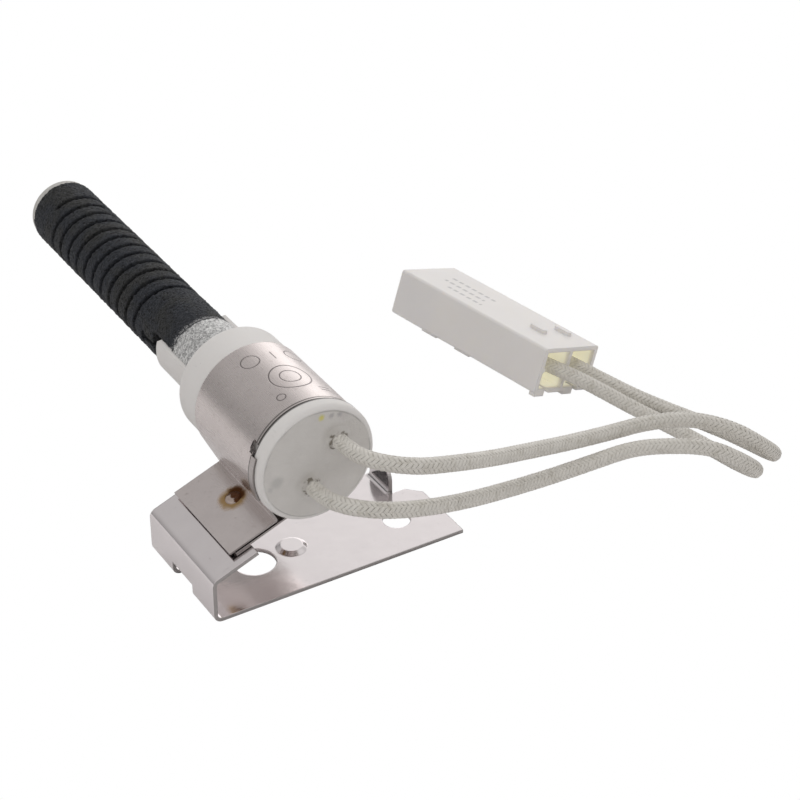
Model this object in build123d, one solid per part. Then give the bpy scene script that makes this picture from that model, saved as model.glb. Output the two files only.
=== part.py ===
from build123d import *
import math
import os

# Hot surface igniter: a silicon carbide spiral in a ceramic body, held by a strap on a sheet bracket,
# with two sleeved leads to a two-way plug. Millimetres. The origin is the centre of the large screw hole
# on the underside of the bracket's base. +X runs along the base, +Y towards the spiral's tip, +Z up.

# bracket
SHEET = 0.8
BEND = 1.0                    # inside radius of the bends
BASE_LEFT = -15.5
BASE_RIGHT = 41.3
BASE_FRONT = -12.4
BASE_BACK = 14.8
TAIL_BACK = 5.9               # the base is narrower to the right of the lug
TAIL_CHAMFER = 2.8
WALL_HEIGHT = 9.7             # where the folded wall turns into the sloping flap
FLAP_ANGLE = 21.0
FLAP_LENGTH = 10.6
LARGE_HOLE_R = 4.3
SMALL_HOLE_R = 2.9
SMALL_HOLE = (31.5, -2.4)
DIMPLE = (8.6, 0.5)
DIMPLE_R = 3.2
DIMPLE_RISE = 0.7
DIMPLE_SLOPE = 0.9            # how much narrower the dimple is at its top
DIMPLE_SHEET = 0.6            # sheet left round the dimple's hollow
LUG_X = 35.0
LUG_FRONT = 6.4
LUG_BACK = 14.3
LUG_TOP = 7.0                 # the lug is bent up from the base at LUG_X
RELIEF = (-3.2, 5.4, 3.4)     # front, back and top of the opening cut in the left bend

# ceramic body, along +Y from its lead face
AXIS_X = 7.7
AXIS_Z = 29.5
FACE_Y = -12.9
FLANGE_R = 12.7
FLANGE_LENGTH = 3.0
SEAT_R = 12.0
BODY_LENGTH = 35.8
CAVITY_R = 9.2
POTTING_R = 11.6
POTTING_LIP = 2.2
POTTING_DEPTH = 14.0
REAR_CEMENT_START = 27.0

# strap
STRAP = 0.4
STRAP_GAP = 0.01              # between the flap and the lower tail, and between the two tails
FOLD_R = 0.5
KNEE_R = 1.2                  # bend in the lower tail, under the body
KNEE_REACH = 3.6
TAIL_SHORTER = 1.2            # the lower tail ends this far short of the tab
STRAP_FRONT = 3.4
STRAP_BACK = 26.9
LIP_FRONT = 1.7
LIP_R = 12.75
LIP_ANGLES = (160, 204)
NOTCH = (150, 158, 5.4)       # angles of its sides, and how far back it reaches
TAB_FRONT = 3.3
TAB_LEFT = -10.1              # free end of the welded tab
RIDGE_X = 0.6                 # fold between the strap's leg and the tab
WELD_X = -2.8
WELD_Y = 2.8
WELD_R = 1.7
WELD_RISE = 0.25

# spiral element
SPIRAL_R = 7.6
SPIRAL_BORE_R = 4.4
SPIRAL_START = 22.0
SPIRAL_TIP = 115.4
CUT_START = 60.2
CUT_END = 108.4
CUT_WIDTH = 1.1
CUT_PITCH = 8.2               # each of the two cuts; neighbouring grooves are half of this apart
LEG_GAP = 6.2                 # slot between the two legs
LEG_GAP_END = 55.5
SLOT_ANGLE = 5.0              # the slot's tilt about the axis
COATING = 0.15
COATING_END = 47.0
SPACER_END = 52.0
SPACER_R = 8.5
CAP_LENGTH = 2.1

# leads and terminals
LEAD_D = 3.3
CONDUCTOR_D = 1.6
EXIT_1 = (12.2, 33.6)         # x and z of the upper lead where it leaves the face
EXIT_2 = (6.2, 24.9)
BARREL_D = 2.8
BARREL_START = 4.0
BARREL_END = 12.0
STRIP_WIDTH = 3.0
STRIP = 0.5

# plug
PLUG_LENGTH = 46.5
PLUG_WIDTH = 17.6
PLUG_HEIGHT = 10.6
PLUG_WALL = 1.0
PLUG_DIVIDER = 0.8            # the wall between the two cavities
PLUG_DEPTH = 34.0
PLUG_RAIL = 1.0               # rail along the outer side of each cavity
PLUG_BUMPS = ((-1.0, 9.9), (5.1, 7.9))          # oval bumps on top
BUMP_SIZE = (4.6, 1.5, 0.8)                     # length, width and rise
PLUG_RIBS = (23.5, 34.2)                        # low ribs along the bottom's left edge
PLUG_FEET = (-7.0, 2.4)                         # feet under the open end, each with a notch beside it
FOOT = (3.0, 1.6, 0.7)                          # width, length and height
NOTCH_WIDTH = 1.4
NOTCH_LENGTH = 3.0
PLUG_CORNER = (93.3, 18.5)    # the corner of the open end that rests on the table
PLUG_ROLL = 20.0
PLUG_YAW = 11.0
CONTACT_START = 8.0           # how far inside the open end the sleeves stop

LEAD_1_ROUTE = [
    (12.2, -12.9, 33.6), (12.2, -17.8, 33.7), (13.8, -22.5, 33.9), (17.2, -26.2, 33.8),
    (21.8, -28.2, 33.0), (28.4, -28.2, 31.3), (37.8, -26.0, 27.6), (48.6, -23.0, 23.7),
    (59.8, -20.4, 20.1), (71.2, -18.9, 17.6), (81.4, -19.0, 16.9), (89.7, -22.6, 17.1),
    (95.7, -29.1, 16.3), (100.5, -32.2, 12.7), (105.4, -31.7, 8.2), (108.9, -27.6, 4.1),
    (109.9, -21.2, 1.9), (108.2, -14.4, 1.8), (105.6, -7.4, 1.8), (102.0, -0.6, 2.3),
    (97.4, 6.0, 3.9), (93.4, 12.8, 5.7), (90.9, 19.4, 6.6), (89.2, 25.9, 6.6)]
LEAD_2_ROUTE = [
    (6.2, -12.9, 24.9), (6.2, -17.8, 25.1), (7.8, -22.5, 25.6), (11.2, -26.2, 25.7),
    (15.8, -28.2, 25.1), (22.4, -28.5, 23.4), (31.8, -26.9, 20.4), (42.6, -24.9, 17.7),
    (54.0, -23.2, 15.6), (64.8, -22.8, 15.0), (74.6, -23.6, 15.6), (82.0, -27.3, 15.8),
    (87.8, -32.3, 16.2), (92.6, -35.2, 13.4), (97.7, -35.0, 9.0), (101.3, -31.2, 4.7),
    (102.4, -25.0, 2.2), (101.4, -17.6, 1.8), (99.9, -10.0, 1.8), (97.6, -2.8, 2.3),
    (94.2, 3.4, 3.8), (90.0, 9.6, 6.3), (86.0, 15.2, 8.4), (83.2, 19.8, 9.3),
    (81.6, 24.4, 9.4)]


def along(radius, start, end, x=AXIS_X, z=AXIS_Z):
    """A cylinder parallel to Y, between two distances from the lead face."""
    middle = FACE_Y + (start + end) / 2
    return Pos(x, middle, z) * Rot(90, 0, 0) * Cylinder(radius, end - start)


def block(low, high):
    """A box from its lowest to its highest corner."""
    size = [b - a for a, b in zip(low, high)]
    middle = [(a + b) / 2 for a, b in zip(low, high)]
    return Pos(*middle) * Box(*size)


def sheet_band(path, thickness, front, back, side):
    """A strip of sheet that follows a path in X and Z, from its front edge to its back edge."""
    outline = make_face(offset(path, amount=thickness, side=side, kind=Kind.ARC))
    face = Plane.XZ * outline
    return Pos(0, back, 0) * extrude(face, amount=back - front)


def flap_point(distance):
    """A point on the outer side of the flap, at a distance along it from the wall's top."""
    angle = math.radians(FLAP_ANGLE)
    return (BASE_LEFT + distance * math.cos(angle), WALL_HEIGHT + distance * math.sin(angle))


def make_lug():
    """The rounded lug, with the round of its bend on the left."""
    middle = (LUG_FRONT + LUG_BACK) / 2
    radius = (LUG_BACK - LUG_FRONT) / 2
    lug = block((LUG_X, LUG_FRONT, 0), (LUG_X + SHEET, LUG_BACK, LUG_TOP - radius))
    top = Rot(0, 90, 0) * Cylinder(radius, SHEET)
    lug += Pos(LUG_X + SHEET / 2, middle, LUG_TOP - radius) * top
    lug -= block((LUG_X - BEND, LUG_FRONT, -LUG_TOP), (LUG_X + 2 * BEND, LUG_BACK, 0))
    corner = block((LUG_X - BEND, LUG_FRONT, SHEET), (LUG_X, LUG_BACK, SHEET + BEND))
    round_in_bend = Rot(90, 0, 0) * Cylinder(BEND, LUG_BACK)
    return lug + (corner - Pos(LUG_X - BEND, middle, SHEET + BEND) * round_in_bend)


def make_bracket():
    path = FilletPolyline((BASE_RIGHT, 0), (BASE_LEFT, 0), (BASE_LEFT, WALL_HEIGHT),
                          flap_point(FLAP_LENGTH), radius=BEND + SHEET)
    body = sheet_band(Wire(path.edges()), SHEET, BASE_FRONT, BASE_BACK, Side.RIGHT)
    body -= block((LUG_X + 0.2, TAIL_BACK, -1), (BASE_RIGHT + 1, BASE_BACK + 1, 3))
    corner = Pos(BASE_RIGHT, TAIL_BACK, SHEET / 2) * Rot(0, 0, 45)
    body -= corner * Box(TAIL_CHAMFER * math.sqrt(2), TAIL_CHAMFER * math.sqrt(2), 4)
    body += make_lug()
    front, back, top = RELIEF
    body -= block((BASE_LEFT - 1, front, -1), (BASE_LEFT + BEND + 1.2, back, top))
    body -= Cylinder(LARGE_HOLE_R, 10)
    body -= Pos(*SMALL_HOLE) * Cylinder(SMALL_HOLE_R, 10)
    rise = Pos(*DIMPLE, SHEET + DIMPLE_RISE / 2) * Cone(DIMPLE_R, DIMPLE_R - DIMPLE_SLOPE, DIMPLE_RISE)
    hollow_r = DIMPLE_R - DIMPLE_SHEET
    hollow = Pos(*DIMPLE, DIMPLE_RISE / 2) * Cone(hollow_r, hollow_r - DIMPLE_SLOPE, DIMPLE_RISE)
    return body + rise - hollow


def above_flap(x, height):
    """Height of a line parallel to the flap, at a distance above its upper side."""
    angle = math.radians(FLAP_ANGLE)
    return WALL_HEIGHT + (x - BASE_LEFT) * math.tan(angle) + height / math.cos(angle)


def strap_paths():
    """The upper tail's line: the tab's free end, the fold, and where the strap meets the body."""
    tab_height = 2 * STRAP + 2 * STRAP_GAP
    tab_end = (TAB_LEFT, above_flap(TAB_LEFT, tab_height))
    ridge = (RIDGE_X, above_flap(RIDGE_X, tab_height))
    dx = AXIS_X - ridge[0]
    dz = AXIS_Z - ridge[1]
    toward = math.atan2(-dz, -dx)
    touch = toward - math.acos(SEAT_R / math.hypot(dx, dz))
    leg_top = (AXIS_X + SEAT_R * math.cos(touch), AXIS_Z + SEAT_R * math.sin(touch))
    return tab_end, ridge, leg_top, touch % (2 * math.pi)


def round_body(radius, start, end):
    """An arc about the body's axis, in X and Z, from one angle to another in degrees."""
    middle = math.radians((start + end) / 2)
    points = [math.radians(start), middle, math.radians(end)]
    spots = [(AXIS_X + radius * math.cos(a), AXIS_Z + radius * math.sin(a)) for a in points]
    return ThreePointArc(*spots)


def make_strap():
    tab_end, ridge, leg_top, touch = strap_paths()
    start = math.degrees(touch)
    over_the_top = round_body(SEAT_R, start, 60)
    down_the_side = round_body(SEAT_R, 60, -95)
    upper = FilletPolyline(tab_end, ridge, leg_top, radius=FOLD_R)
    bottom = down_the_side @ 1
    knee_x = bottom.X - KNEE_REACH
    tail_end = TAB_LEFT + TAIL_SHORTER
    tail_height = STRAP + STRAP_GAP
    tail = FilletPolyline((bottom.X, bottom.Y), (knee_x, above_flap(knee_x, tail_height)),
                          (tail_end, above_flap(tail_end, tail_height)), radius=KNEE_R)
    pieces = []
    for line, front in ((upper, TAB_FRONT), (over_the_top, STRAP_FRONT), (down_the_side, STRAP_FRONT),
                        (tail, TAB_FRONT)):
        band = sheet_band(Wire(line.edges()), STRAP, FACE_Y + front, FACE_Y + STRAP_BACK, Side.LEFT)
        pieces.append(band)
    lip_start, lip_end = LIP_ANGLES
    lip = round_body(LIP_R, lip_start, lip_end)
    pieces.append(sheet_band(Wire(lip.edges()), STRAP, FACE_Y + LIP_FRONT, FACE_Y + STRAP_FRONT, Side.RIGHT))
    step = round_body(SEAT_R, lip_start, lip_end)
    step_thickness = LIP_R + STRAP - SEAT_R
    pieces.append(sheet_band(Wire(step.edges()), step_thickness, FACE_Y + STRAP_FRONT - 0.3,
                             FACE_Y + STRAP_FRONT + 0.1, Side.RIGHT))
    strap = pieces[0]
    for piece in pieces[1:]:
        strap += piece
    notch_start, notch_end, notch_back = NOTCH
    notch = round_body(SEAT_R - 1, notch_start, notch_end)
    return strap - sheet_band(Wire(notch.edges()), 2, FACE_Y, FACE_Y + notch_back, Side.RIGHT)


def make_ceramic_body():
    body = along(FLANGE_R, 0, FLANGE_LENGTH)
    body = fillet(body.edges().filter_by(GeomType.CIRCLE).sort_by(Axis.Y)[0], 1.3)
    seat = along(SEAT_R, FLANGE_LENGTH - 1, BODY_LENGTH)
    seat = fillet(seat.edges().filter_by(GeomType.CIRCLE).sort_by(Axis.Y)[-1], 1.8)
    body += seat
    body -= along(POTTING_R, -1, POTTING_LIP)
    return body - along(CAVITY_R, POTTING_LIP - 1, BODY_LENGTH + 1)


def turn_about_axis(shape, degrees):
    """Turn a shape about the body's axis."""
    back = Pos(AXIS_X, 0, AXIS_Z) * Rot(0, -degrees, 0) * Pos(-AXIS_X, 0, -AXIS_Z)
    return back * shape


def slot_blank(half_width, start, end, reach):
    """A bar across the whole body, between two distances from the lead face."""
    low = (AXIS_X - reach, FACE_Y + start, AXIS_Z - half_width)
    high = (AXIS_X + reach, FACE_Y + end, AXIS_Z + half_width)
    return turn_about_axis(block(low, high), SLOT_ANGLE)


def make_spiral():
    tube = along(SPIRAL_R, SPIRAL_START, SPIRAL_TIP) - along(SPIRAL_BORE_R, SPIRAL_START - 1, SPIRAL_TIP + 1)
    tube -= slot_blank(LEG_GAP / 2, SPIRAL_START - 1, LEG_GAP_END, 12)
    tube -= slot_blank(CUT_WIDTH / 2, SPIRAL_START - 1, CUT_START + 0.2, 12)
    middle_r = (SPIRAL_R + SPIRAL_BORE_R) / 2
    helix = Helix(CUT_PITCH, CUT_END - CUT_START, middle_r, lefthand=True)
    section = Plane(origin=helix @ 0, x_dir=(1, 0, 0), z_dir=helix % 0)
    cutter = sweep(section * Rectangle(4.6, CUT_WIDTH), path=helix, is_frenet=True)
    for turn in (0, 180):
        lie = Pos(AXIS_X, FACE_Y + CUT_START, AXIS_Z) * Rot(-90, 0, 0) * Rot(0, 0, turn + SLOT_ANGLE)
        tube -= lie * cutter
    return tube


def make_tip_cap():
    cap = along(SPIRAL_R - 0.3, SPIRAL_TIP, SPIRAL_TIP + CAP_LENGTH)
    return fillet(cap.edges().filter_by(GeomType.CIRCLE).sort_by(Axis.Y)[-1], 0.9)


def make_slot_spacer():
    blade = slot_blank(LEG_GAP / 2, SPIRAL_START + 2, SPACER_END, 12)
    return blade & along(SPACER_R, SPIRAL_START, SPACER_END + 1)


def make_coatings():
    """The sprayed metal on the two legs, upper half first."""
    sleeve = along(SPIRAL_R + COATING, SPIRAL_START + 2, COATING_END)
    sleeve -= along(SPIRAL_R, SPIRAL_START, COATING_END + 1)
    sleeve -= slot_blank(LEG_GAP / 2 + 0.02, SPIRAL_START, COATING_END + 1, 12)
    halves = sleeve.solids().sort_by(Axis.Z)
    return halves[-1], halves[0]


def radial_place(exit_point):
    """Distance and angle of a lead exit from the body's axis."""
    dx = exit_point[0] - AXIS_X
    dz = exit_point[1] - AXIS_Z
    return math.hypot(dx, dz), math.degrees(math.atan2(dz, dx))


def make_terminal(exit_point):
    """A strip from the end of a crimp barrel to the outside of a leg."""
    distance, angle = radial_place(exit_point)
    leg_r = SPIRAL_R + COATING
    low = distance + CONDUCTOR_D / 2
    line = Polyline((BARREL_END, low), (BARREL_END + 3, low), (BARREL_END + 7, leg_r),
                    (REAR_CEMENT_START + 2, leg_r))
    outline = make_face(offset(Wire(line.edges()), amount=STRIP, side=Side.LEFT, kind=Kind.INTERSECTION))
    flat = extrude(outline, amount=STRIP_WIDTH / 2, both=True)
    stand = Plane(origin=(AXIS_X, FACE_Y, AXIS_Z), x_dir=(0, 1, 0), z_dir=(0, 0, -1))
    return turn_about_axis(stand * flat, angle)


def make_barrel(exit_point):
    x, z = exit_point
    outer = along(BARREL_D / 2, BARREL_START, BARREL_END, x, z)
    return outer - along(CONDUCTOR_D / 2, BARREL_START - 1, BARREL_END + 1, x, z)


def make_conductor(exit_point):
    x, z = exit_point
    return along(CONDUCTOR_D / 2, 0, BARREL_END - 0.5, x, z)


def make_potting(inner_pieces):
    potting = along(POTTING_R, 0, POTTING_LIP) + along(CAVITY_R, POTTING_LIP - 0.5, POTTING_DEPTH)
    for piece in inner_pieces:
        potting -= piece
    for x, z in (EXIT_1, EXIT_2):
        potting -= along(CONDUCTOR_D / 2, -1, BARREL_END, x, z)
    return potting


def make_rear_cement(inner_pieces):
    cement = along(CAVITY_R, REAR_CEMENT_START, BODY_LENGTH - 0.8)
    cement -= along(SPIRAL_R + COATING, REAR_CEMENT_START - 1, BODY_LENGTH)
    for piece in inner_pieces:
        cement -= piece
    return cement


def route_length(points):
    return sum(math.dist(a, b) for a, b in zip(points, points[1:]))


def make_lead(name, points):
    """A sleeved lead: straight runs joined by arcs as large as the runs beside them allow."""
    radii = []
    for before, here, after in zip(points, points[1:], points[2:]):
        one = Vector(*here) - Vector(*before)
        two = Vector(*after) - Vector(*here)
        half_turn = math.radians(one.get_angle(two)) / 2
        radii.append(0.45 * min(one.length, two.length) / math.tan(half_turn))
    path = FilletPolyline(*points, radius=radii)
    end = Plane(origin=path @ 0, z_dir=path % 0)
    tube = sweep(end * Circle(LEAD_D / 2), path=path)
    section = math.pi * LEAD_D ** 2 / 4
    print(name, "radii", [round(r, 1) for r in radii])
    print(name, "length", round(path.length, 1), "runs", round(route_length(points), 1),
          "volume ratio", round(tube.volume / (section * path.length), 4))
    return tube


def plug_place(shape):
    """Put a shape from the plug's own frame, open end at y = 0, where the plug lies."""
    lie = Pos(*PLUG_CORNER, 0) * Rot(0, 0, PLUG_YAW) * Rot(0, PLUG_ROLL, 0)
    return lie * Pos(-PLUG_WIDTH / 2, 0, 0) * shape


def cavity_x(side):
    return side * PLUG_WIDTH / 4


def make_plug_housing():
    half = PLUG_WIDTH / 2
    middle_z = PLUG_HEIGHT / 2
    shell = block((-half, 0, 0), (half, PLUG_LENGTH, PLUG_HEIGHT))
    shell = fillet(shell.edges().filter_by(Axis.Y), 0.7)
    shell = fillet(shell.faces().sort_by(Axis.Y)[-1].edges(), 0.6)
    for side in (-1, 1):
        inner = side * PLUG_DIVIDER / 2
        outer = side * (half - PLUG_WALL)
        low, high = sorted((inner, outer))
        shell -= block((low, -1, PLUG_WALL), (high, PLUG_DEPTH, PLUG_HEIGHT - PLUG_WALL))
        low, high = sorted((outer, outer - side * PLUG_RAIL))
        shell += block((low, 0.4, middle_z - PLUG_RAIL / 2), (high, PLUG_DEPTH, middle_z + PLUG_RAIL / 2))
    length, width, rise = BUMP_SIZE
    for x, y in PLUG_BUMPS:
        oval = Rot(0, 0, 90) * SlotOverall(length, width)
        shell += Pos(x, y, PLUG_HEIGHT - 0.2) * extrude(oval, amount=rise + 0.2)
    for y in PLUG_RIBS:
        shell += block((-half + 0.7, y - 2.3, -0.4), (-half + 2.6, y + 2.3, 0.2))
    width, length, height = FOOT
    for x in PLUG_FEET:
        shell += block((x - width / 2, 0, -height), (x + width / 2, length, 0.2))
        start = x + width / 2
        shell -= block((start, -1, -1), (start + NOTCH_WIDTH, NOTCH_LENGTH, PLUG_WALL + 0.1))
    return plug_place(shell)


def make_plug_contact(side):
    x = cavity_x(side)
    middle_z = PLUG_HEIGHT / 2
    barrel = Pos(x, CONTACT_START + 3, middle_z) * Rot(90, 0, 0) * Cylinder(LEAD_D / 2, 6)
    blade = block((x - 1.6, CONTACT_START + 5.5, middle_z - 0.4), (x + 1.6, PLUG_DEPTH - 1, middle_z + 0.4))
    return plug_place(barrel + blade)


def make_weld_spot():
    top = above_flap(WELD_X, 3 * STRAP + 2 * STRAP_GAP)
    disc = Cone(WELD_R, WELD_R - 0.5, WELD_RISE, align=(Align.CENTER, Align.CENTER, Align.MIN))
    return Pos(WELD_X, WELD_Y, top) * Rot(0, -FLAP_ANGLE, 0) * disc


def save(name, shape):
    export_step(shape, f"parts/{name}.step")


os.makedirs("parts", exist_ok=True)
spiral = make_spiral()
upper_coating, lower_coating = make_coatings()
spacer = make_slot_spacer()
terminals = [make_terminal(EXIT_1), make_terminal(EXIT_2)]
barrels = [make_barrel(EXIT_1), make_barrel(EXIT_2)]
save("spiral_element", spiral)
save("tip_cap", make_tip_cap())
save("contact_coating_upper", upper_coating)
save("contact_coating_lower", lower_coating)
save("slot_spacer", spacer)
save("ceramic_body", make_ceramic_body())
save("front_potting", make_potting(terminals + barrels))
save("rear_cement", make_rear_cement(terminals + [spacer]))
save("clamp_strap", make_strap())
save("bracket", make_bracket())
save("weld_spot", make_weld_spot())
save("plug_housing", make_plug_housing())
for number, (exit_point, route, side) in enumerate(
        ((EXIT_1, LEAD_1_ROUTE, 1), (EXIT_2, LEAD_2_ROUTE, -1)), start=1):
    save(f"terminal_strip_{number}", terminals[number - 1])
    save(f"crimp_barrel_{number}", barrels[number - 1])
    save(f"conductor_{number}", make_conductor(exit_point))
    save(f"lead_{number}", make_lead(f"lead_{number}", route))
    save(f"plug_contact_{number}", make_plug_contact(side))
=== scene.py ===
"""Looks for a hot surface igniter on a sheet bracket.

A silicon carbide spiral in a ceramic body, with a strap, a bracket, two braided leads and a plug.
"""
import math

import bmesh
import bpy
import numpy as np
from mathutils import Euler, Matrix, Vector, noise


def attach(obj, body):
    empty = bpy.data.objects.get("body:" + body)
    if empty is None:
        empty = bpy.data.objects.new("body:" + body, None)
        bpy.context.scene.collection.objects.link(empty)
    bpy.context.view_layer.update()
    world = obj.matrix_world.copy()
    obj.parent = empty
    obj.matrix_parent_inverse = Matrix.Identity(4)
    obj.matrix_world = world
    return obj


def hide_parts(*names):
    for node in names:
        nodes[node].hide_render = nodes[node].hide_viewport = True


MM = 0.001
BODY = "root"

# the body's axis runs along +Y, through this x and z; the lead face is at FACE_Y (all in metres)
AXIS_X = 7.7 * MM
AXIS_Z = 29.5 * MM
FACE_Y = -12.9 * MM
STRAP_R = 12.4 * MM
STRAP_FRONT = 3.4 * MM
FLANGE_LENGTH = 3.0 * MM
POTTING_R = 11.6 * MM
COATING_END = 34.1 * MM
NOTCH_ANGLE = 152             # of the notch in the strap's front edge, in degrees round the body's axis
WELD = (-2.8 * MM, 2.8 * MM, 15.6 * MM)
EXITS = {"1": (12.2, 33.6), "2": (6.2, 24.9)}

# stains on the lead face: x, z and size in millimetres, strength and colour. They are a yellow spot, grey
# smudges beside it, scuffs on the left, and a brown haze round each lead.
FACE_STAINS = (
    (8.8, 39.8, 1.0, 0.75, (0.62, 0.56, 0.05)), (10.9, 39.5, 0.9, 0.50, (0.30, 0.28, 0.30)),
    (12.7, 39.2, 0.9, 0.55, (0.26, 0.25, 0.27)), (13.6, 38.6, 1.9, 0.22, (0.45, 0.40, 0.42)),
    (-1.2, 28.4, 1.9, 0.40, (0.33, 0.33, 0.32)), (-2.6, 27.2, 0.9, 0.35, (0.36, 0.36, 0.36)),
    (11.2, 34.8, 3.4, 0.40, (0.34, 0.31, 0.27)), (5.4, 26.0, 3.2, 0.40, (0.34, 0.31, 0.27)))

# plain marks engraved in the strap, millimetres from its top line and from the lead face
RINGS = ((1.6, 13.0, 2.1), (-2.6, 21.6, 1.9), (7.4, 21.8, 1.9), (-3.3, 7.8, 0.9))
BARS = ((2.4, 21.4, 0.14, 1.4), (6.6, 8.2, 1.3, 0.14), (6.6, 7.2, 1.3, 0.14))

# the plug's own frame: its corner on the table, how it is turned and rolled, and its size
PLUG_CORNER = (93.3, 18.5)
PLUG_YAW = 11.0
PLUG_ROLL = 20.0
PLUG_WIDTH = 17.6
PLUG_HEIGHT = 10.6
PLUG_WALL = 1.0
# rows of printed dashes: place across the plug, width, and where they start and end along it
PRINT_ROWS = ((-13.3, 1.0, 24.5, 35.5), (-10.2, 1.0, 26.5, 39.5), (-7.1, 1.0, 26.0, 40.5))

# the leads: a braided glass sleeve over stranded wire
BRAID_STRANDS = 8             # in each direction
BRAID_PITCH = 7.6
BRAID_R = 1.44
BRAID_WAVE = 0.10
STRAND_WIDTH = 0.82
STRAND_THICKNESS = 0.23
STRAND_CORNERS = 6
CORE_CORNERS = 16
ROUTES = {
    "1": [
        (12.2, -12.9, 33.6), (12.2, -17.8, 33.7), (13.8, -22.5, 33.9), (17.2, -26.2, 33.8),
        (21.8, -28.2, 33.0), (28.4, -28.2, 31.3), (37.8, -26.0, 27.6), (48.6, -23.0, 23.7),
        (59.8, -20.4, 20.1), (71.2, -18.9, 17.6), (81.4, -19.0, 16.9), (89.7, -22.6, 17.1),
        (95.7, -29.1, 16.3), (100.5, -32.2, 12.7), (105.4, -31.7, 8.2), (108.9, -27.6, 4.1),
        (109.9, -21.2, 1.9), (108.2, -14.4, 1.8), (105.6, -7.4, 1.8), (102.0, -0.6, 2.3),
        (97.4, 6.0, 3.9), (93.4, 12.8, 5.7), (90.9, 19.4, 6.6), (89.2, 25.9, 6.6)],
    "2": [
        (6.2, -12.9, 24.9), (6.2, -17.8, 25.1), (7.8, -22.5, 25.6), (11.2, -26.2, 25.7),
        (15.8, -28.2, 25.1), (22.4, -28.5, 23.4), (31.8, -26.9, 20.4), (42.6, -24.9, 17.7),
        (54.0, -23.2, 15.6), (64.8, -22.8, 15.0), (74.6, -23.6, 15.6), (82.0, -27.3, 15.8),
        (87.8, -32.3, 16.2), (92.6, -35.2, 13.4), (97.7, -35.0, 9.0), (101.3, -31.2, 4.7),
        (102.4, -25.0, 2.2), (101.4, -17.6, 1.8), (99.9, -10.0, 1.8), (97.6, -2.8, 2.3),
        (94.2, 3.4, 3.8), (90.0, 9.6, 6.3), (86.0, 15.2, 8.4), (83.2, 19.8, 9.3),
        (81.6, 24.4, 9.4)]}

# soft patches of the studio's light: direction, cosines where it starts and is full, and strength
STUDIO_LOBES = (
    ((0.68, 0.71, 0.16), 0.70, 0.99, 0.62), ((0.70, 0.71, 0.04), 0.87, 0.98, 0.65),
    ((-0.62, -0.45, 0.64), 0.55, 0.95, 0.16), ((0.75, -0.60, 0.28), 0.60, 0.98, 0.30))

CAMERA_PLACE = (-0.1682, -0.3333, 0.2849)
CAMERA_TURN = (56.6, 0.0, -31.22)
CAMERA_LENS = 105.4


# ---------------------------------------------------------------- node helpers

def add(tree, kind, inputs=(), **settings):
    """A shader node, with its inputs set to values or linked to sockets."""
    made = tree.nodes.new(kind)
    for key, value in settings.items():
        setattr(made, key, value)
    for key, value in dict(inputs).items():
        if isinstance(value, bpy.types.NodeSocket):
            tree.links.new(value, made.inputs[key])
        else:
            made.inputs[key].default_value = value
    return made


def calc(tree, operation, *values):
    return add(tree, "ShaderNodeMath", enumerate(values), operation=operation).outputs[0]


def vector(tree, operation, *values):
    made = add(tree, "ShaderNodeVectorMath", enumerate(values), operation=operation)
    return made.outputs["Value" if operation in ("LENGTH", "DISTANCE", "DOT_PRODUCT") else "Vector"]


def spread(tree, value, low, high, to_low=0.0, to_high=1.0):
    """A value mapped smoothly from one range to another and held within it."""
    inputs = {"Value": value, "From Min": low, "From Max": high, "To Min": to_low, "To Max": to_high}
    return add(tree, "ShaderNodeMapRange", inputs, interpolation_type="SMOOTHSTEP").outputs["Result"]


def away(tree, value, middle):
    """How far a value is from a middle one."""
    return calc(tree, "ABSOLUTE", calc(tree, "SUBTRACT", value, middle))


def band(tree, value, middle, outer, inner):
    """One within the inner distance of a middle value, fading to zero at the outer distance."""
    return spread(tree, away(tree, value, middle), outer, inner)


def mix(tree, share, first, second):
    inputs = {0: share, 6: first, 7: second}
    return add(tree, "ShaderNodeMix", inputs, data_type="RGBA").outputs[2]


def rgb(red, green, blue):
    return (red, green, blue, 1.0)


def place(tree, stretch=(1, 1, 1)):
    """Coordinates in metres in the part's frame, stretched if asked."""
    here = add(tree, "ShaderNodeTexCoord").outputs["Object"]
    if stretch == (1, 1, 1):
        return here
    return vector(tree, "MULTIPLY", here, stretch)


def grain(tree, where, size, detail=4.0, rough=0.6):
    """Noise whose blotches are about that many millimetres across."""
    inputs = {"Vector": where, "Scale": 1000.0 / size, "Detail": detail, "Roughness": rough}
    return add(tree, "ShaderNodeTexNoise", inputs).outputs["Fac"]


def cells(tree, where, size, feature="F1", output="Distance"):
    inputs = {"Vector": where, "Scale": 1000.0 / size}
    return add(tree, "ShaderNodeTexVoronoi", inputs, feature=feature).outputs[output]


def bump(tree, height, depth, normal=None):
    """Bump of that depth in millimetres."""
    inputs = {"Height": height, "Distance": depth * MM, "Strength": 1.0}
    if normal is not None:
        inputs["Normal"] = normal
    return add(tree, "ShaderNodeBump", inputs).outputs["Normal"]


def rounded(tree, radius):
    """A normal that softens edges, as a small fillet of that many millimetres would."""
    return add(tree, "ShaderNodeBevel", {"Radius": radius * MM}, samples=6).outputs["Normal"]


def start(name):
    """A new material, its node tree and its main shader."""
    material = bpy.data.materials.new(name)
    material.use_nodes = True
    return material, material.node_tree, material.node_tree.nodes["Principled BSDF"]


def plug_in(tree, shader, **sockets):
    """Set or link the main shader's inputs; an underscore stands for a space."""
    for key, value in sockets.items():
        socket = shader.inputs[key.replace("_", " ")]
        if isinstance(value, bpy.types.NodeSocket):
            tree.links.new(value, socket)
        else:
            socket.default_value = value


# ---------------------------------------------------------------- materials

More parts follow.
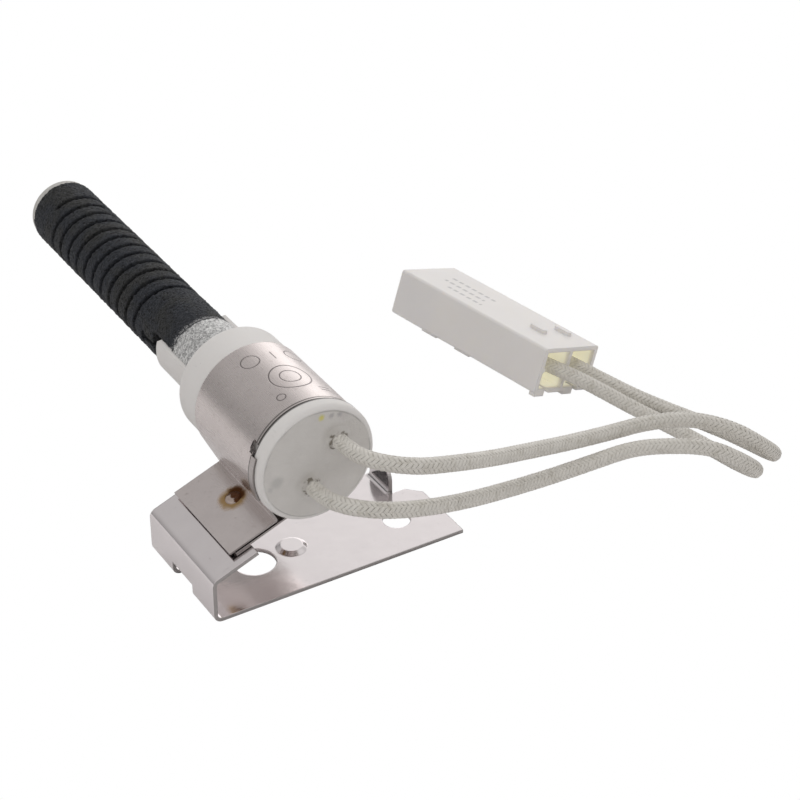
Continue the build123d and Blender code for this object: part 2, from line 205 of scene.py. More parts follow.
def silicon_carbide():
    material, tree, shader = start("silicon_carbide")
    where = place(tree)
    coarse = grain(tree, where, 0.55, 3)
    fine = grain(tree, where, 0.16, 5, 0.7)
    patches = grain(tree, where, 9, 3)
    y = add(tree, "ShaderNodeSeparateXYZ", {0: where}).outputs["Y"]
    body = mix(tree, spread(tree, patches, 0.42, 0.62), rgb(0.017, 0.020, 0.026), rgb(0.024, 0.024, 0.021))
    body = mix(tree, spread(tree, fine, 0.48, 0.68), body, rgb(0.080, 0.087, 0.102))
    pores = spread(tree, coarse, 0.46, 0.36)
    body = mix(tree, pores, body, rgb(0.004, 0.004, 0.005))
    glint = spread(tree, cells(tree, where, 0.5), 0.13, 0.06)
    glint = calc(tree, "MULTIPLY", glint, spread(tree, grain(tree, where, 1.9, 2), 0.56, 0.66))
    body = mix(tree, glint, body, rgb(0.42, 0.42, 0.43))
    # stray drops of sprayed metal past the coating's end
    fade = spread(tree, y, COATING_END + 1.9 * MM, COATING_END - 0.6 * MM)
    drops = calc(tree, "ADD", grain(tree, where, 0.33, 3, 0.75), calc(tree, "MULTIPLY", fade, 0.36))
    drops = spread(tree, drops, 0.69, 0.76)
    body = mix(tree, drops, body, rgb(0.40, 0.40, 0.40))
    height = calc(tree, "ADD", calc(tree, "MULTIPLY", coarse, 0.8), calc(tree, "MULTIPLY", fine, 0.5))
    plug_in(tree, shader, Base_Color=body, Roughness=spread(tree, fine, 0.3, 0.7, 0.72, 0.46),
            Specular_IOR_Level=0.34, Metallic=calc(tree, "MULTIPLY", drops, 0.4),
            Normal=bump(tree, height, 0.5))
    return material


def sprayed_metal():
    material, tree, shader = start("sprayed_metal")
    where = place(tree)
    y = add(tree, "ShaderNodeSeparateXYZ", {0: where}).outputs["Y"]
    lumps = cells(tree, where, 0.45, "SMOOTH_F1")
    fine = grain(tree, where, 0.18, 5, 0.75)
    tone = add(tree, "ShaderNodeSeparateXYZ", {0: cells(tree, where, 0.36, "F1", "Color")}).outputs["X"]
    colour = mix(tree, tone, rgb(0.30, 0.30, 0.30), rgb(0.82, 0.82, 0.81))
    colour = mix(tree, spread(tree, fine, 0.52, 0.70), colour, rgb(0.92, 0.92, 0.91))
    pits = spread(tree, grain(tree, where, 0.5, 3, 0.7), 0.36, 0.30)
    colour = mix(tree, pits, colour, rgb(0.07, 0.07, 0.07))
    # it thins out to bare carbide at its end
    thin = spread(tree, y, COATING_END - 1.3 * MM, COATING_END, -0.2, 0.25)
    edge = calc(tree, "ADD", grain(tree, where, 0.7, 4, 0.7), thin)
    bare = spread(tree, edge, 0.58, 0.66)
    colour = mix(tree, bare, colour, rgb(0.045, 0.047, 0.05))
    height = calc(tree, "SUBTRACT", calc(tree, "MULTIPLY", fine, 0.7), lumps)
    plug_in(tree, shader, Base_Color=colour, Metallic=calc(tree, "MULTIPLY_ADD", bare, -0.55, 0.6),
            Roughness=spread(tree, tone, 0, 1, 0.60, 0.38), Normal=bump(tree, height, 0.18))
    return material


def cap_cement():
    material, tree, shader = start("cap_cement")
    where = place(tree)
    lumps = grain(tree, where, 1.6, 5, 0.65)
    colour = mix(tree, lumps, rgb(0.36, 0.35, 0.33), rgb(0.66, 0.65, 0.62))
    specks = spread(tree, grain(tree, where, 0.5, 3), 0.34, 0.28)
    colour = mix(tree, specks, colour, rgb(0.12, 0.12, 0.12))
    plug_in(tree, shader, Base_Color=colour, Roughness=0.9,
            Normal=bump(tree, lumps, 0.3, rounded(tree, 0.5)))
    return material


def ceramic():
    material, tree, shader = start("ceramic")
    where = place(tree)
    clouds = grain(tree, where, 11, 4)
    colour = mix(tree, clouds, rgb(0.69, 0.665, 0.64), rgb(0.76, 0.745, 0.73))
    marks = spread(tree, grain(tree, place(tree, (1, 0.35, 1)), 2.2, 5, 0.7), 0.62, 0.74)
    colour = mix(tree, calc(tree, "MULTIPLY", marks, 0.35), colour, rgb(0.50, 0.49, 0.47))
    specks = spread(tree, grain(tree, where, 0.6, 2), 0.25, 0.20)
    colour = mix(tree, calc(tree, "MULTIPLY", specks, 0.5), colour, rgb(0.30, 0.29, 0.27))
    # painted shade: a dark line on the ceramic just in front of the strap's edge, where the front flange
    # meets the strap
    y = add(tree, "ShaderNodeSeparateXYZ", {0: where}).outputs["Y"]
    flange_seam_shade = spread(tree, y, FACE_Y + FLANGE_LENGTH - 0.45 * MM, FACE_Y + FLANGE_LENGTH - 0.10 * MM, 0, 0.85)
    before_strap = spread(tree, y, FACE_Y + STRAP_FRONT + 0.2 * MM, FACE_Y + STRAP_FRONT)
    flange_seam_shade = calc(tree, "MULTIPLY", flange_seam_shade, before_strap)
    colour = mix(tree, flange_seam_shade, colour, rgb(0.10, 0.095, 0.09))
    fine = grain(tree, where, 0.35, 5, 0.7)
    plug_in(tree, shader, Base_Color=colour, Roughness=0.62, Specular_IOR_Level=0.35,
            Subsurface_Weight=0.08, Subsurface_Radius=(1.0, 0.9, 0.8), Subsurface_Scale=0.001,
            Normal=bump(tree, fine, 0.035, rounded(tree, 0.35)))
    return material


def face_distance(tree, where, x, z):
    """Distance across the lead face from a spot given in millimetres."""
    off = vector(tree, "SUBTRACT", where, (x * MM, 0, z * MM))
    return vector(tree, "LENGTH", vector(tree, "MULTIPLY", off, (1, 0, 1)))


def potting_cement():
    material, tree, shader = start("potting_cement")
    where = place(tree)
    clouds = grain(tree, where, 7, 5, 0.6)
    fine = grain(tree, where, 0.45, 5, 0.7)
    trowel = grain(tree, place(tree, (0.5, 1, 1.4)), 3.2, 4, 0.55)
    colour = mix(tree, clouds, rgb(0.55, 0.53, 0.505), rgb(0.69, 0.67, 0.645))
    wobble = calc(tree, "MULTIPLY", calc(tree, "SUBTRACT", grain(tree, where, 2.5, 4), 0.5), 1.6 * MM)
    for x, z, size, share, tint in FACE_STAINS:
        reach = calc(tree, "ADD", face_distance(tree, where, x, z), wobble)
        spot = spread(tree, reach, size * MM, size * 0.25 * MM, 0, share)
        colour = mix(tree, spot, colour, rgb(*tint))
    # a broken dark ring round each lead, set a little up and to the left: painted shade where the face dips
    # round its hole
    for x, z in EXITS.values():
        reach = face_distance(tree, where, x - 0.15, z + 0.15)
        reach = calc(tree, "ADD", reach, calc(tree, "MULTIPLY", wobble, 0.3))
        hole_rim_shade = band(tree, reach, 1.85 * MM, 0.42 * MM, 0.12 * MM)
        hole_rim_shade = calc(tree, "MULTIPLY", hole_rim_shade, spread(tree, grain(tree, where, 1.1, 3), 0.42, 0.60, 0, 0.85))
        colour = mix(tree, hole_rim_shade, colour, rgb(0.13, 0.11, 0.08))
    # the broken line where the cement meets the ceramic's rim
    reach = face_distance(tree, where, AXIS_X / MM, AXIS_Z / MM)
    line = band(tree, reach, POTTING_R - 0.12 * MM, 0.16 * MM, 0.04 * MM)
    line = calc(tree, "MULTIPLY", line, spread(tree, grain(tree, where, 5, 2), 0.42, 0.62, 0.0, 0.55))
    colour = mix(tree, line, colour, rgb(0.32, 0.31, 0.30))
    height = calc(tree, "ADD", calc(tree, "MULTIPLY", trowel, 1.0), calc(tree, "MULTIPLY", fine, 0.25))
    plug_in(tree, shader, Base_Color=colour, Roughness=0.7, Specular_IOR_Level=0.3,
            Normal=bump(tree, height, 0.30))
    return material


def spin(tree, where):
    """Metres round the strap from its top line, rightwards, and metres along the body."""
    axes = add(tree, "ShaderNodeSeparateXYZ", {0: where})
    right = calc(tree, "SUBTRACT", axes.outputs["X"], AXIS_X)
    above = calc(tree, "SUBTRACT", axes.outputs["Z"], AXIS_Z)
    angle = calc(tree, "ARCTAN2", right, above)
    return calc(tree, "MULTIPLY", angle, STRAP_R), axes.outputs["Y"]


def ring(tree, across, along, x, y, radius, width):
    """An engraved ring on the strap, millimetres from the top line and from the lead face."""
    dx = calc(tree, "SUBTRACT", across, x * MM)
    dy = calc(tree, "SUBTRACT", along, FACE_Y + y * MM)
    square = calc(tree, "ADD", calc(tree, "MULTIPLY", dx, dx), calc(tree, "MULTIPLY", dy, dy))
    return band(tree, calc(tree, "SQRT", square), radius * MM, width * MM, width * 0.4 * MM)


def bar(tree, across, along, x, y, half_x, half_y):
    """A short engraved bar on the strap."""
    dx = calc(tree, "DIVIDE", away(tree, across, x * MM), half_x * MM)
    dy = calc(tree, "DIVIDE", away(tree, along, FACE_Y + y * MM), half_y * MM)
    return spread(tree, calc(tree, "MAXIMUM", dx, dy), 1.15, 0.8)


def sheet_scratches(tree, stretch, size):
    """Fine rolling lines in sheet metal."""
    return grain(tree, place(tree, stretch), size, 4, 0.7)


def cut_edge(tree):
    """One on the sheet's cut edges that face along the body, zero elsewhere."""
    normal = add(tree, "ShaderNodeNewGeometry").outputs["True Normal"]
    facing = add(tree, "ShaderNodeSeparateXYZ", {0: normal}).outputs["Y"]
    return spread(tree, calc(tree, "ABSOLUTE", facing), 0.80, 0.95)


def strap_steel():
    material, tree, shader = start("strap_steel")
    where = place(tree)
    across, along = spin(tree, where)
    # plain engraved marks: rings and short bars
    marks = ring(tree, across, along, 1.6, 13.0, 4.2, 0.19)
    for x, y, radius in RINGS:
        marks = calc(tree, "MAXIMUM", marks, ring(tree, across, along, x, y, radius, 0.17))
    for x, y, half_x, half_y in BARS:
        marks = calc(tree, "MAXIMUM", marks, bar(tree, across, along, x, y, half_x, half_y))
    axes = add(tree, "ShaderNodeSeparateXYZ", {0: where})
    on_top = spread(tree, axes.outputs["Z"], AXIS_Z, AXIS_Z + 3 * MM)
    marks = calc(tree, "MULTIPLY", marks, on_top)
    clouds = grain(tree, where, 5, 4)
    lines = sheet_scratches(tree, (1, 0.06, 1), 0.30)
    colour = mix(tree, clouds, rgb(0.60, 0.548, 0.532), rgb(0.72, 0.664, 0.647))
    dents = spread(tree, grain(tree, where, 2.4, 4, 0.65), 0.66, 0.76)
    colour = mix(tree, calc(tree, "MULTIPLY", dents, 0.4), colour, rgb(0.35, 0.33, 0.33))
    stains = spread(tree, grain(tree, where, 1.3, 5, 0.7), 0.56, 0.72, 0, 0.30)
    colour = mix(tree, stains, colour, rgb(0.30, 0.25, 0.22))
    colour = mix(tree, calc(tree, "MULTIPLY", marks, 0.85), colour, rgb(0.14, 0.12, 0.12))
    # painted shade: the dark gap at the strap's front edge, and the dark line where the rolled lip turns
    # just behind it; both fade out low on the body
    edge = calc(tree, "SUBTRACT", along, FACE_Y + STRAP_FRONT)
    gap = band(tree, edge, 0.08 * MM, 0.30 * MM, 0.14 * MM)
    line = band(tree, edge, 0.78 * MM, 0.26 * MM, 0.08 * MM)
    dark = calc(tree, "MAXIMUM", gap, calc(tree, "MULTIPLY", line, 0.8))
    dark = calc(tree, "MULTIPLY", dark, spread(tree, axes.outputs["Z"], AXIS_Z - 9 * MM, AXIS_Z - 6 * MM))
    # painted reflection: the lip in front of the strap's edge is darkened where it mirrors the dark gap
    colour = mix(tree, spread(tree, edge, 0.0, -0.3 * MM, 0, 0.45), colour, rgb(0.26, 0.25, 0.24))
    colour = mix(tree, calc(tree, "MULTIPLY", cut_edge(tree), 0.6), colour, rgb(0.16, 0.15, 0.145))
    colour = mix(tree, dark, colour, rgb(0.09, 0.085, 0.08))
    # heat tint round the weld: straw at its edge, and a brown core that lies to the right
    wobble = calc(tree, "MULTIPLY", calc(tree, "SUBTRACT", grain(tree, where, 1.3, 4, 0.7), 0.5), 1.8 * MM)
    reach = calc(tree, "ADD", vector(tree, "DISTANCE", where, WELD), wobble)
    right = (WELD[0] + 1.0 * MM, WELD[1] + 0.5 * MM, WELD[2] + 0.2 * MM)
    core = calc(tree, "ADD", vector(tree, "DISTANCE", where, right), wobble)
    colour = mix(tree, spread(tree, reach, 3.7 * MM, 2.0 * MM), colour, rgb(0.46, 0.31, 0.15))
    colour = mix(tree, spread(tree, core, 2.7 * MM, 1.4 * MM), colour, rgb(0.10, 0.038, 0.012))
    tint = spread(tree, reach, 3.4 * MM, 2.0 * MM, 0, 0.3)
    height = calc(tree, "SUBTRACT", calc(tree, "MULTIPLY", lines, 0.35), marks)
    # the flat tab is smoother than the part drawn round the body
    shine = spread(tree, axes.outputs["Z"], AXIS_Z - 12 * MM, AXIS_Z - 8 * MM, 0.13, 0.22)
    rough = calc(tree, "ADD", calc(tree, "MULTIPLY_ADD", lines, 0.12, shine), tint)
    plug_in(tree, shader, Base_Color=colour, Metallic=1.0, Roughness=rough,
            Normal=bump(tree, height, 0.05, rounded(tree, 0.12)))
    return material


def bracket_steel():
    material, tree, shader = start("bracket_steel")
    where = place(tree)
    clouds = grain(tree, where, 6, 4)
    lines = sheet_scratches(tree, (0.05, 1, 1), 0.28)
    smudge = spread(tree, grain(tree, where, 1.7, 5, 0.7), 0.62, 0.72)
    colour = mix(tree, clouds, rgb(0.76, 0.715, 0.72), rgb(0.84, 0.80, 0.80))
    colour = mix(tree, calc(tree, "MULTIPLY", smudge, 0.25), colour, rgb(0.42, 0.39, 0.39))
    edge = cut_edge(tree)
    colour = mix(tree, calc(tree, "MULTIPLY", edge, 0.7), colour, rgb(0.22, 0.21, 0.20))
    rough = calc(tree, "MULTIPLY_ADD", lines, 0.06, spread(tree, clouds, 0.3, 0.7, 0.07, 0.12))
    rough = calc(tree, "MULTIPLY_ADD", edge, 0.2, rough)
    waves = grain(tree, where, 8, 2)
    height = calc(tree, "ADD", calc(tree, "MULTIPLY", lines, 0.12), waves)
    plug_in(tree, shader, Base_Color=colour, Metallic=1.0, Roughness=rough,
            Normal=bump(tree, height, 0.06, rounded(tree, 0.35)))
    return material


def weld_metal():
    material, tree, shader = start("weld_metal")
    where = place(tree)
    lumps = grain(tree, where, 0.9, 5, 0.7)
    x = add(tree, "ShaderNodeSeparateXYZ", {0: where}).outputs["X"]
    side = spread(tree, x, WELD[0] - 1.4 * MM, WELD[0] + 0.9 * MM, -0.22, 0.30)
    burnt = spread(tree, calc(tree, "ADD", lumps, side), 0.42, 0.58)
    colour = mix(tree, burnt, rgb(0.62, 0.52, 0.46), rgb(0.11, 0.040, 0.013))
    plug_in(tree, shader, Base_Color=colour, Metallic=0.8, Roughness=0.38,
            Normal=bump(tree, lumps, 0.35, rounded(tree, 0.2)))
    return material


def nylon():
    material, tree, shader = start("white_nylon")
    where = place(tree)
    # into the plug's own frame, in metres, to find the inside of the two cavities
    off = vector(tree, "SUBTRACT", where, (PLUG_CORNER[0] * MM, PLUG_CORNER[1] * MM, 0))
    turn = {"Vector": off, "Axis": (0, 0, 1), "Angle": math.radians(-PLUG_YAW)}
    flat = add(tree, "ShaderNodeVectorRotate", turn).outputs[0]
    turn = {"Vector": flat, "Axis": (0, 1, 0), "Angle": math.radians(-PLUG_ROLL)}
    own = add(tree, "ShaderNodeSeparateXYZ", {0: add(tree, "ShaderNodeVectorRotate", turn).outputs[0]})
    inside = 1.0
    for axis, middle in (("X", -PLUG_WIDTH / 2), ("Z", PLUG_HEIGHT / 2)):
        half = abs(middle)
        within = band(tree, own.outputs[axis], middle * MM,
                      (half - 0.7 * PLUG_WALL) * MM, (half - 0.9 * PLUG_WALL) * MM)
        inside = calc(tree, "MULTIPLY", inside, within)
    for low, high in ((0.2, 1.6), (36, 35)):
        inside = calc(tree, "MULTIPLY", inside, spread(tree, own.outputs["Y"], low * MM, high * MM))
    clouds = grain(tree, where, 14, 4)
    colour = mix(tree, clouds, rgb(0.74, 0.718, 0.70), rgb(0.80, 0.78, 0.765))
    # painted light: the inside of the cavities is made lighter and yellower, for the light that the thin
    # walls let through
    colour = mix(tree, inside, colour, rgb(0.87, 0.85, 0.72))
    # faint rows of plain printed dashes on the top
    dashes = calc(tree, "FRACT", calc(tree, "DIVIDE", own.outputs["Y"], 2.1 * MM))
    ink = 0.0
    for x, width, low, high in PRINT_ROWS:
        half = (high - low) / 2
        row = calc(tree, "MULTIPLY",
                   band(tree, own.outputs["X"], x * MM, width * 0.55 * MM, width * 0.4 * MM),
                   band(tree, own.outputs["Y"], (low + high) / 2 * MM, half * MM, (half - 0.2) * MM))
        ink = calc(tree, "MAXIMUM", ink, row)
    on_top = spread(tree, own.outputs["Z"], (PLUG_HEIGHT - 0.3) * MM, (PLUG_HEIGHT - 0.1) * MM)
    ink = calc(tree, "MULTIPLY", ink, on_top)
    ink = calc(tree, "MULTIPLY", ink, spread(tree, dashes, 0.30, 0.38, 0, 0.5))
    colour = mix(tree, ink, colour, rgb(0.25, 0.25, 0.26))
    fine = grain(tree, where, 0.3, 4, 0.6)
    sink = grain(tree, where, 10, 2)
    height = calc(tree, "ADD", calc(tree, "MULTIPLY", fine, 0.15), sink)
    # the thin walls let light through, which shows inside as a warm glow
    glow = calc(tree, "MULTIPLY", inside, 0.24)
    plug_in(tree, shader, Base_Color=colour, Roughness=0.42, Specular_IOR_Level=0.4, Subsurface_Weight=0.25,
            Subsurface_Radius=(1.2, 1.1, 0.8), Subsurface_Scale=0.0012,
            Emission_Color=rgb(0.93, 0.90, 0.76), Emission_Strength=glow,
            Normal=bump(tree, height, 0.05, rounded(tree, 0.3)))
    return material


def glass_sleeve():
    """Glass yarn: fine filaments along each strand, which its UVs follow."""
    material, tree, shader = start("glass_sleeve")
    uv = add(tree, "ShaderNodeUVMap", uv_map="strand").outputs["UV"]
    threads = {"Vector": vector(tree, "MULTIPLY", uv, (12, 1.0, 1)), "Scale": 1.0, "Detail": 3.0}
    threads = add(tree, "ShaderNodeTexNoise", threads).outputs["Fac"]
    where = place(tree)
    clouds = grain(tree, where, 5, 4)
    grime = spread(tree, grain(tree, where, 2.2, 4, 0.65), 0.50, 0.68, 0, 0.4)
    colour = mix(tree, clouds, rgb(0.60, 0.575, 0.525), rgb(0.74, 0.715, 0.665))
    colour = mix(tree, grime, colour, rgb(0.44, 0.41, 0.345))
    colour = mix(tree, spread(tree, threads, 0.50, 0.30, 0, 0.3), colour, rgb(0.36, 0.35, 0.31))
    plug_in(tree, shader, Base_Color=colour, Roughness=0.55, Specular_IOR_Level=0.45, Sheen_Weight=0.15,
            Normal=bump(tree, threads, 0.03))
    return material


def plain_metal(name, colour, roughness):
    material, tree, shader = start(name)
    where = place(tree)
    tone = grain(tree, where, 1.5, 4)
    dull = tuple(0.7 * c for c in colour)
    plug_in(tree, shader, Base_Color=mix(tree, tone, rgb(*colour), rgb(*dull)), Metallic=1.0,
            Roughness=spread(tree, tone, 0.3, 0.7, roughness, roughness + 0.15),
            Normal=bump(tree, grain(tree, where, 0.3), 0.02, rounded(tree, 0.1)))
    return material


# ---------------------------------------------------------------- pieces

def ride_along(name, mesh):
    """An object for a mesh in the part's frame, which rides on the body."""
    piece = bpy.data.objects.new(name, mesh)
    bpy.context.scene.collection.objects.link(piece)
    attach(piece, BODY)
    return piece


def new_piece(name, vertices, faces, material):
    """A smooth piece from its vertices and faces."""
    mesh = bpy.data.meshes.new(name)
    mesh.from_pydata([tuple(v) for v in vertices], [], faces)
    mesh.update()
    mesh.polygons.foreach_set("use_smooth", [True] * len(mesh.polygons))
    mesh.materials.append(material)
    return ride_along(name, mesh)


def route_line(route):
    """Points along the lead's centreline, read from its NURBS spline."""
    curve = bpy.data.curves.new("route", "CURVE")
    curve.dimensions = "3D"
    curve.resolution_u = 24
    spline = curve.splines.new("NURBS")
    spline.points.add(len(route) - 1)
    for point, spot in zip(spline.points, route):
        point.co = (spot[0] * MM, spot[1] * MM, spot[2] * MM, 1.0)
    spline.order_u = 3
    spline.use_endpoint_u = True
    holder = bpy.data.objects.new("route", curve)
    line = bpy.data.meshes.new_from_object(holder)
    points = np.array([v.co for v in line.vertices], float)
    bpy.data.meshes.remove(line)
    bpy.data.objects.remove(holder)
    bpy.data.curves.remove(curve)
    return points


def even_steps(points, step):
    """The line resampled at even steps, with its distances along and two directions across it."""
    runs = np.linalg.norm(np.diff(points, axis=0), axis=1)
    walked = np.concatenate([[0.0], np.cumsum(runs)])
    count = int(walked[-1] / step) + 1
    along = np.linspace(0.0, walked[-1], count)
    spots = np.stack([np.interp(along, walked, points[:, i]) for i in range(3)], axis=1)
    ahead = np.gradient(spots, axis=0)
    ahead /= np.linalg.norm(ahead, axis=1)[:, None]
    side = np.zeros_like(ahead)
    side[0] = np.cross(ahead[0], (0.0, 0.0, 1.0))
    for i in range(1, count):
        side[i] = side[i - 1] - ahead[i] * np.dot(side[i - 1], ahead[i])
        side[i] /= np.linalg.norm(side[i])
    return along, spots, side, np.cross(ahead, side)


def tube_faces(rows, columns, first):
    """Quads of a tube whose rings have that many points, from a first vertex number."""
    row = np.arange(rows - 1)[:, None]
    column = np.arange(columns)[None, :]
    after = (column + 1) % columns
    quads = np.stack([row * columns + column, row * columns + after,
                      (row + 1) * columns + after, (row + 1) * columns + column], axis=-1)
    return quads.reshape(-1, 4) + first


def ring_uvs(along, corners, shift=0.0):
    """Across and along a tube, one pair for each of its points; the second runs in millimetres."""
    across = np.arange(corners)[None, :] / corners + shift
    return np.stack(np.broadcast_arrays(across, along[:, None] / MM), axis=-1).reshape(-1, 2)


def strand_rings(hand, strand, along, spots, side, other):
    """The points of one flat strand, which winds left or right and goes two over, two under."""
    crossings = along / (BRAID_PITCH * MM / (2 * BRAID_STRANDS))
    turn = 2 * math.pi * (strand / BRAID_STRANDS + hand * along / (BRAID_PITCH * MM))
    wave = np.cos(math.pi / 2 * (crossings - 0.5 * hand) + math.pi * strand)
    slack = [noise.noise(Vector((a * 900, strand * 3.1, hand * 7.7))) for a in along[::6]]
    slack = np.interp(along, along[::6], slack)
    reach = (BRAID_R + hand * BRAID_WAVE * wave + 0.035 * slack) * MM
    out = np.cos(turn)[:, None] * side + np.sin(turn)[:, None] * other
    centre = spots + out * reach[:, None]
    way = np.gradient(centre, axis=0)
    way /= np.linalg.norm(way, axis=1)[:, None]
    flat = np.cross(way, out)
    flat /= np.linalg.norm(flat, axis=1)[:, None]
    up = np.cross(flat, way)
    rings = []
    for corner in range(STRAND_CORNERS):
        angle = 2 * math.pi * corner / STRAND_CORNERS
        wide = 0.5 * STRAND_WIDTH * MM * math.cos(angle) * (1 + 0.10 * slack)
        thick = 0.5 * STRAND_THICKNESS * MM * math.sin(angle)
        rings.append(centre + flat * wide[:, None] + up * thick)
    return np.stack(rings, axis=1).reshape(-1, 3)


def core_rings(spots, side, other):
    """The points of the plain core under the braid."""
    rings = []
    for corner in range(CORE_CORNERS):
        angle = 2 * math.pi * corner / CORE_CORNERS
        rings.append(spots + (BRAID_R - 0.12) * MM * (math.cos(angle) * side + math.sin(angle) * other))
    return np.stack(rings, axis=1).reshape(-1, 3)


def quad_mesh(name, vertices, faces, uvs):
    """A smooth mesh of quads with a UV map that gives each vertex one spot."""
    mesh = bpy.data.meshes.new(name)
    mesh.vertices.add(len(vertices))
    mesh.vertices.foreach_set("co", vertices.ravel())
    mesh.loops.add(faces.size)
    mesh.loops.foreach_set("vertex_index", faces.ravel())
    mesh.polygons.add(len(faces))
    mesh.polygons.foreach_set("loop_start", np.arange(0, faces.size, 4))
    mesh.update(calc_edges=True)
    mesh.validate()
    layer = mesh.uv_layers.new(name="strand")
    layer.data.foreach_set("uv", uvs[faces.ravel()].ravel())
    mesh.polygons.foreach_set("use_smooth", [True] * len(mesh.polygons))
    return mesh


def braided_lead(name, route, material):
    """A sleeve braided two over, two under, on a plain core, as one mesh round the route."""
    line = route_line(route)
    along, spots, side, other = even_steps(line, 0.12 * MM)
    vertices, faces, uvs = [], [], []
    total = 0
    for hand in (1, -1):
        for strand in range(BRAID_STRANDS):
            vertices.append(strand_rings(hand, strand, along, spots, side, other))
            faces.append(tube_faces(len(along), STRAND_CORNERS, total))
            uvs.append(ring_uvs(along, STRAND_CORNERS, 0.37 * strand))
            total += len(along) * STRAND_CORNERS
    vertices.append(core_rings(spots, side, other))
    faces.append(tube_faces(len(along), CORE_CORNERS, total))
    uvs.append(ring_uvs(along, CORE_CORNERS))
    mesh = quad_mesh(name, np.concatenate(vertices), np.concatenate(faces), np.concatenate(uvs))
    mesh.materials.append(material)
    piece = ride_along(name, mesh)
    return piece, line


def cement_rim(name, x, z, material):
    """The low uneven mound of cement where a lead leaves the face."""
    around, rows = 56, 9
    vertices = []
    for row in range(rows):
        share = row / (rows - 1)
        for column in range(around):
            angle = 2 * math.pi * column / around
            right = math.cos(angle)
            up = math.sin(angle)
            lump = noise.noise(Vector((right * 1.7 + x, up * 1.7 + z, share * 2)))
            reach = (1.52 + (1.75 + 0.7 * lump) * share) * MM
            rise = (1.0 + 0.45 * lump) * (1 - share) ** 1.7 * MM - 0.05 * MM * share
            dent = 0.10 * noise.noise(Vector((right * 6, up * 6, share * 5 + x))) * MM
            y = FACE_Y - rise - dent * (1 - share)
            vertices.append((x * MM + reach * right, y, z * MM + reach * up))
    faces = []
    for row in range(rows - 1):
        for column in range(around):
            after = (column + 1) % around
            faces.append((row * around + column, (row + 1) * around + column,
                          (row + 1) * around + after, row * around + after))
    new_piece(name, vertices, faces, material)


def notch_fold(material):
    """The small triangle of strap bent up beside the notch."""
    angle = math.radians(NOTCH_ANGLE)
    out = Vector((math.cos(angle), 0, math.sin(angle)))
    down = Vector((math.cos(angle + math.pi / 2), 0, math.sin(angle + math.pi / 2)))
    base = Vector((AXIS_X, FACE_Y, AXIS_Z)) + out * (STRAP_R - 0.1 * MM)
    corners = [(-1.0, 5.3, 0.0), (2.0, 5.2, 0.0), (1.9, 2.3, 0.0), (0.4, 3.4, 0.9)]
    points = [base + down * a * MM + Vector((0, b * MM, 0)) + out * c * MM for a, b, c in corners]
    mesh = bmesh.new()
    spots = [mesh.verts.new(p) for p in points]
    mesh.faces.new((spots[0], spots[1], spots[3]))
    mesh.faces.new((spots[1], spots[2], spots[3]))
    bmesh.ops.solidify(mesh, geom=mesh.faces[:], thickness=0.3 * MM)
    bmesh.ops.recalc_face_normals(mesh, faces=mesh.faces[:])
    data = bpy.data.meshes.new("notch_fold")
    mesh.to_mesh(data)
    mesh.free()
    data.materials.append(material)
    piece = ride_along("notch_fold", data)
    edge = piece.modifiers.new("soft_edge", "BEVEL")
    edge.width = 0.08 * MM
    edge.segments = 2


def grainy_surface(node, voxel, amount, size):
    """Round a CAD node's edges a little and give it real grain, with modifiers alone."""
    remesh = node.modifiers.new("even_mesh", "REMESH")
    remesh.mode = "VOXEL"
    remesh.voxel_size = voxel * MM
    remesh.use_smooth_shade = True
    soften = node.modifiers.new("soft_edges", "SMOOTH")
    soften.factor = 0.5
    soften.iterations = 4
    texture = bpy.data.textures.new(node.name + "_grain", "CLOUDS")
    texture.noise_scale = size * MM
    texture.noise_depth = 2
    rough = node.modifiers.new("grain", "DISPLACE")
    rough.texture = texture
    rough.texture_coords = "LOCAL"
    rough.strength = amount * MM
    rough.mid_level = 0.5


# ---------------------------------------------------------------- studio

def make_world():
    """White for the camera; for light and reflections a soft studio with brighter patches."""
    world = bpy.data.worlds.new("studio")
    bpy.context.scene.world = world
    world.use_nodes = True
    tree = world.node_tree
    tree.nodes.clear()
    ray = add(tree, "ShaderNodeTexCoord").outputs["Generated"]
    height = add(tree, "ShaderNodeSeparateXYZ", {0: ray}).outputs["Z"]
    level = spread(tree, height, -0.1, 0.9, 0.34, 0.58)
    for way, low, high, gain in STUDIO_LOBES:
        lobe = spread(tree, vector(tree, "DOT_PRODUCT", ray, way), low, high, 0, gain)
        level = calc(tree, "ADD", level, lobe)
    studio = add(tree, "ShaderNodeBackground", {"Color": rgb(1.0, 0.985, 0.98), "Strength": level})
    white = add(tree, "ShaderNodeBackground", {"Color": rgb(1, 1, 1), "Strength": 1.0})
    seen = add(tree, "ShaderNodeLightPath").outputs["Is Camera Ray"]
    both = add(tree, "ShaderNodeMixShader", {0: seen, 1: studio.outputs[0], 2: white.outputs[0]})
    add(tree, "ShaderNodeOutputWorld", {"Surface": both.outputs[0]})


def make_floor():
    """A table that the camera sees as pure white, as in a cut-out, and that lights and mirrors the part."""
    material = bpy.data.materials.new("table")
    material.use_nodes = True
    tree = material.node_tree
    tree.nodes.clear()
    seen = add(tree, "ShaderNodeLightPath").outputs["Is Camera Ray"]
    white = add(tree, "ShaderNodeEmission", {"Color": rgb(1, 1, 1), "Strength": 1.0})
    lit = add(tree, "ShaderNodeBsdfDiffuse", {"Color": rgb(0.88, 0.87, 0.87)})
    both = add(tree, "ShaderNodeMixShader", {0: seen, 1: lit.outputs[0], 2: white.outputs[0]})
    add(tree, "ShaderNodeOutputMaterial", {"Surface": both.outputs[0]})
    mesh = bpy.data.meshes.new("table")
    far = 3.0
    low = -0.02 * MM
    corners = [(-far, -far, low), (far, -far, low), (far, far, low), (-far, far, low)]
    mesh.from_pydata(corners, [], [(0, 1, 2, 3)])
    mesh.materials.append(material)
    table = bpy.data.objects.new("table", mesh)
    bpy.context.scene.collection.objects.link(table)


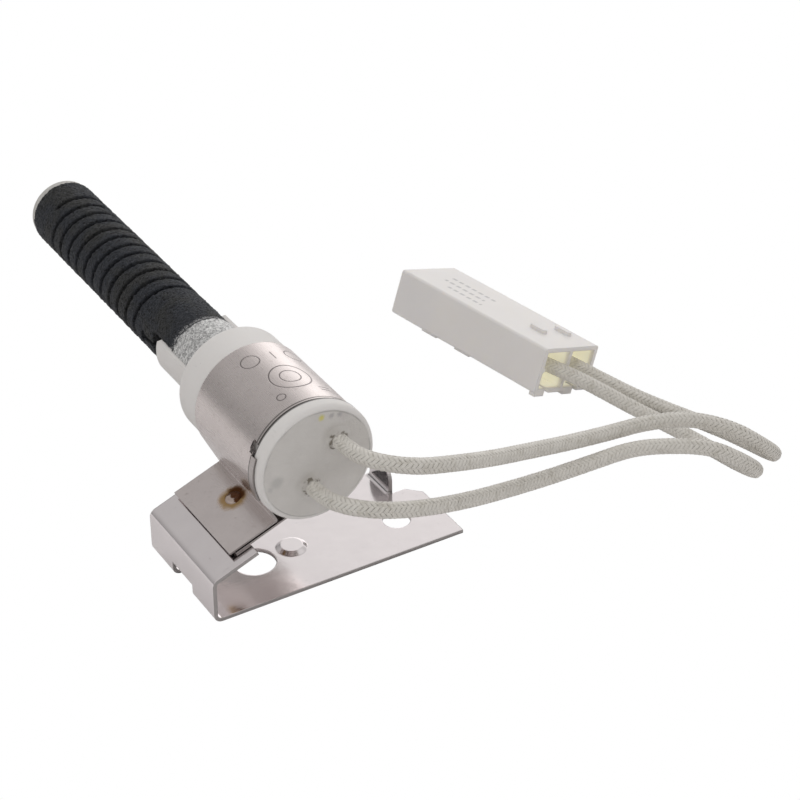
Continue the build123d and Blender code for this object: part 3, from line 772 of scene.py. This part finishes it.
def make_camera():
    data = bpy.data.cameras.new("camera")
    data.lens = CAMERA_LENS
    data.sensor_width = 36.0
    data.clip_start = 0.01
    camera = bpy.data.objects.new("camera", data)
    camera.location = CAMERA_PLACE
    camera.rotation_euler = Euler([math.radians(a) for a in CAMERA_TURN], "XYZ")
    bpy.context.scene.collection.objects.link(camera)
    bpy.context.scene.camera = camera


def make_light(name, spot, target, size, power):
    """A soft lamp that lights the part but isn't mirrored in it."""
    data = bpy.data.lights.new(name, "AREA")
    data.shape = "DISK"
    data.size = size
    data.energy = power
    light = bpy.data.objects.new(name, data)
    light.visible_glossy = False
    light.location = spot
    light.rotation_euler = (Vector(target) - Vector(spot)).to_track_quat("-Z", "Y").to_euler()
    bpy.context.scene.collection.objects.link(light)


# ---------------------------------------------------------------- the scene

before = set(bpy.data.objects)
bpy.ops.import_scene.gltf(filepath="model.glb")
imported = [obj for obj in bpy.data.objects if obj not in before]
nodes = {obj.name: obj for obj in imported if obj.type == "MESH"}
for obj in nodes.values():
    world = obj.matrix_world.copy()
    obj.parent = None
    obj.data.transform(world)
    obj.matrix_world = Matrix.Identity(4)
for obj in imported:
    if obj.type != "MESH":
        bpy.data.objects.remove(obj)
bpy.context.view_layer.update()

make_camera()

sleeve = glass_sleeve()
for number, route in ROUTES.items():
    lead, line = braided_lead(f"braided_lead_{number}", route, sleeve)
    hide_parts(f"lead_{number}")

carbide = silicon_carbide()
sprayed = sprayed_metal()
fired = ceramic()
cement = potting_cement()
strap = strap_steel()
nickel = plain_metal("nickel", (0.62, 0.59, 0.54), 0.35)
tinned = plain_metal("tinned_brass", (0.70, 0.66, 0.55), 0.30)
LOOKS = {
    "spiral_element": carbide, "tip_cap": cap_cement(), "contact_coating_upper": sprayed,
    "contact_coating_lower": sprayed, "slot_spacer": fired, "ceramic_body": fired,
    "front_potting": cement, "rear_cement": cement, "clamp_strap": strap, "bracket": bracket_steel(),
    "weld_spot": weld_metal(), "plug_housing": nylon()}
for number in ROUTES:
    LOOKS[f"lead_{number}"] = sleeve
    LOOKS[f"plug_contact_{number}"] = tinned
    for kind in ("terminal_strip", "crimp_barrel", "conductor"):
        LOOKS[f"{kind}_{number}"] = nickel
for name, material in LOOKS.items():
    data = nodes[name].data
    data.materials.clear()
    data.materials.append(material)

grainy_surface(nodes["spiral_element"], voxel=0.22, amount=0.46, size=0.5)
for number, (x, z) in EXITS.items():
    cement_rim(f"cement_rim_{number}", x, z, cement)
notch_fold(strap)

make_world()
make_floor()
make_light("key", (-0.25, -0.10, 0.55), (0.02, 0.0, 0.02), 0.35, 0.5)
make_light("back", (0.30, 0.45, 0.45), (0.02, 0.02, 0.02), 0.40, 0.6)
bpy.context.scene.view_settings.view_transform = "Standard"
